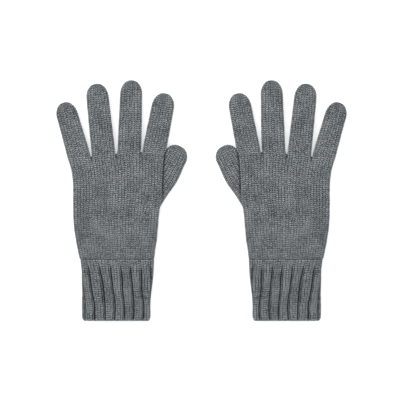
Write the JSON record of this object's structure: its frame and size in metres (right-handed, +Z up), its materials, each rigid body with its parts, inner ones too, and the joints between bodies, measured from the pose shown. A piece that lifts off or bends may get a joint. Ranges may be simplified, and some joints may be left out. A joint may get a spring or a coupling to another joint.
{
  "type": "knitted gloves, pair",
  "caption": "Pair of adult knitted gloves in grey heather wool, lying flat with backs up: plain knit hands, fingers and thumbs, linked seam at the wrist and long wide-ribbed cuffs.",
  "frame": {"origin": "on the table under the middle of the pair, midway along its length and width", "axes": "+X from the left glove to the right glove, +Y from the cuffs to the fingertips, +Z up, out of the backs of the hands"},
  "size_m": [0.3122, 0.2614, 0.014],
  "materials": {
    "plain_knit": "mid-grey heather wool, plain knit, matt with a soft fuzz",
    "rib_knit": "mid-grey heather wool, wide rib, matt with a soft fuzz",
    "seam_yarn": "darker grey wool yarn, matt"
  },
  "bodies": {
    "left_glove_hand": {"left_hand": "plain_knit", "left_wrist": "plain_knit", "left_little_root": "plain_knit", "left_ring_root": "plain_knit", "left_middle_root": "plain_knit", "left_index_root": "plain_knit"},
    "left_glove_cuff": {"left_cuff": "rib_knit", "left_cuff_seam": "seam_yarn", "left_cuff_welt": "rib_knit"},
    "left_little": {"left_little_finger": "plain_knit", "left_little_tip_tie": "seam_yarn"},
    "left_ring": {"left_ring_finger": "plain_knit", "left_ring_tip_tie": "seam_yarn"},
    "left_middle": {"left_middle_finger": "plain_knit", "left_middle_tip_tie": "seam_yarn"},
    "left_index": {"left_index_finger": "plain_knit", "left_index_tip_tie": "seam_yarn"},
    "left_thumb_tube": {"left_thumb": "plain_knit", "left_thumb_tip_tie": "seam_yarn"},
    "right_glove_hand": {"right_hand": "plain_knit", "right_wrist": "plain_knit", "right_little_root": "plain_knit", "right_ring_root": "plain_knit", "right_middle_root": "plain_knit", "right_index_root": "plain_knit"},
    "right_glove_cuff": {"right_cuff": "rib_knit", "right_cuff_seam": "seam_yarn", "right_cuff_welt": "rib_knit"},
    "right_little": {"right_little_finger": "plain_knit", "right_little_tip_tie": "seam_yarn"},
    "right_ring": {"right_ring_finger": "plain_knit", "right_ring_tip_tie": "seam_yarn"},
    "right_middle": {"right_middle_finger": "plain_knit", "right_middle_tip_tie": "seam_yarn"},
    "right_index": {"right_index_finger": "plain_knit", "right_index_tip_tie": "seam_yarn"},
    "right_thumb_tube": {"right_thumb": "plain_knit", "right_thumb_tip_tie": "seam_yarn"}
  },
  "joints": [
    {"name": "left_wrist_fold", "type": "hinge", "parent": "left_glove_hand", "child": "left_glove_cuff", "pos_m": [-0.0918, -0.0519, 0.0063], "axis": [-1, 0, 0], "range_deg": [-60, 75], "deforming": ["left_wrist"]},
    {"name": "left_little_fold", "type": "hinge", "parent": "left_glove_hand", "child": "left_little", "pos_m": [-0.1338, 0.05629, 0.00525], "axis": [0.9641, 0.2656, 0], "range_deg": [-80, 75], "deforming": ["left_little_root"]},
    {"name": "left_ring_fold", "type": "hinge", "parent": "left_glove_hand", "child": "left_ring", "pos_m": [-0.10676, 0.06089, 0.00525], "axis": [0.9945, 0.1045, 0], "range_deg": [-80, 75], "deforming": ["left_ring_root"]},
    {"name": "left_middle_fold", "type": "hinge", "parent": "left_glove_hand", "child": "left_middle", "pos_m": [-0.0778, 0.06265, 0.00525], "axis": [0.9996, -0.0297, 0], "range_deg": [-80, 75], "deforming": ["left_middle_root"]},
    {"name": "left_index_fold", "type": "hinge", "parent": "left_glove_hand", "child": "left_index", "pos_m": [-0.04955, 0.06126, 0.00525], "axis": [0.9813, -0.1925, 0], "range_deg": [-80, 75], "deforming": ["left_index_root"]},
    {"name": "left_thumb_swing", "type": "hinge", "parent": "left_glove_hand", "child": "left_thumb_tube", "pos_m": [-0.0556, 0, 0.003], "axis": [0, 0, -1], "range_deg": [0, 40]},
    {"name": "right_wrist_fold", "type": "hinge", "parent": "right_glove_hand", "child": "right_glove_cuff", "pos_m": [0.0918, -0.0519, 0.0063], "axis": [-1, 0, 0], "range_deg": [-60, 75], "deforming": ["right_wrist"]},
    {"name": "right_little_fold", "type": "hinge", "parent": "right_glove_hand", "child": "right_little", "pos_m": [0.1338, 0.05629, 0.00525], "axis": [0.9641, -0.2656, 0], "range_deg": [-80, 75], "deforming": ["right_little_root"]},
    {"name": "right_ring_fold", "type": "hinge", "parent": "right_glove_hand", "child": "right_ring", "pos_m": [0.10676, 0.06089, 0.00525], "axis": [0.9945, -0.1045, 0], "range_deg": [-80, 75], "deforming": ["right_ring_root"]},
    {"name": "right_middle_fold", "type": "hinge", "parent": "right_glove_hand", "child": "right_middle", "pos_m": [0.0778, 0.06265, 0.00525], "axis": [0.9996, 0.0297, 0], "range_deg": [-80, 75], "deforming": ["right_middle_root"]},
    {"name": "right_index_fold", "type": "hinge", "parent": "right_glove_hand", "child": "right_index", "pos_m": [0.04955, 0.06126, 0.00525], "axis": [0.9813, 0.1925, 0], "range_deg": [-80, 75], "deforming": ["right_index_root"]},
    {"name": "right_thumb_swing", "type": "hinge", "parent": "right_glove_hand", "child": "right_thumb_tube", "pos_m": [0.0556, 0, 0.003], "axis": [0, 0, 1], "range_deg": [0, 40]},
    {"name": "pair_spacing", "type": "slide", "parent": "left_glove_hand", "child": "right_glove_hand", "axis": [1, 0, 0], "range_m": [-0.03, 0.055]}
  ]
}
